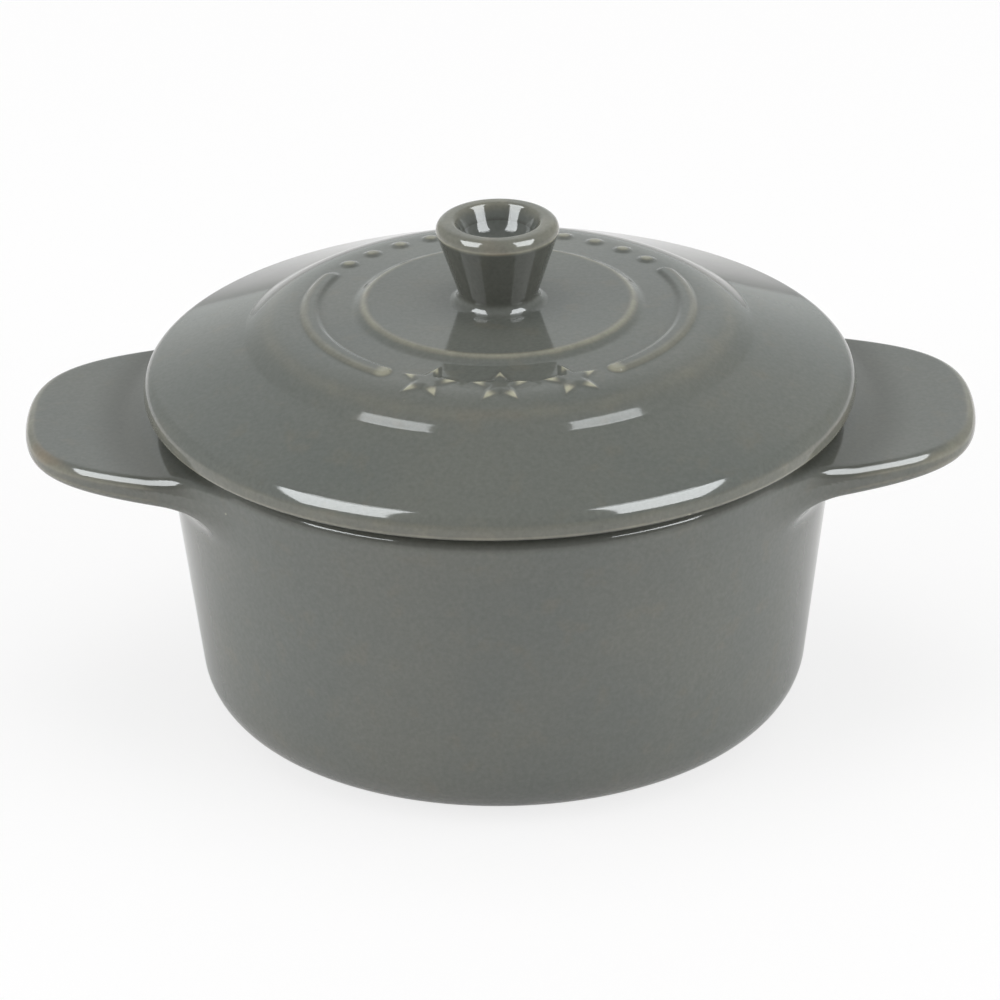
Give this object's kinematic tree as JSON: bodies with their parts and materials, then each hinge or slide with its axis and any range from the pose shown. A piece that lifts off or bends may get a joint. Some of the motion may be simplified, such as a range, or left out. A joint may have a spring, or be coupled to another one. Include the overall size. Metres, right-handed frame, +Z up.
{
  "type": "mini cocotte",
  "caption": "Small glazed stoneware casserole pot with tapered wall, wide lug handles and a loose domed lid with stars in low relief and a hollow-topped knob.",
  "frame": {"origin": "on the pot's axis, in the plane of the foot ring that it stands on", "axes": "+Z up along the pot's axis, the lug handles point along +X and -X, the stars on the lid face -Y"},
  "size_m": [0.1416, 0.106, 0.0767],
  "materials": {
    "glazed_stoneware": "glossy grey glaze that thins to a pale cream line on edges and relief",
    "bare_stoneware": "unglazed, matt, where the pot stands and the lid seats"
  },
  "bodies": {
    "pot_body": {"pot": "glazed_stoneware", "left_handle": "glazed_stoneware", "right_handle": "glazed_stoneware"},
    "lid_body": {"lid": "glazed_stoneware", "knob": "glazed_stoneware"}
  },
  "joints": [
    {"name": "lid_lift", "type": "slide", "parent": "pot_body", "child": "lid_body", "axis": [0, 0, 1], "range_m": [0, 0.08]}
  ]
}
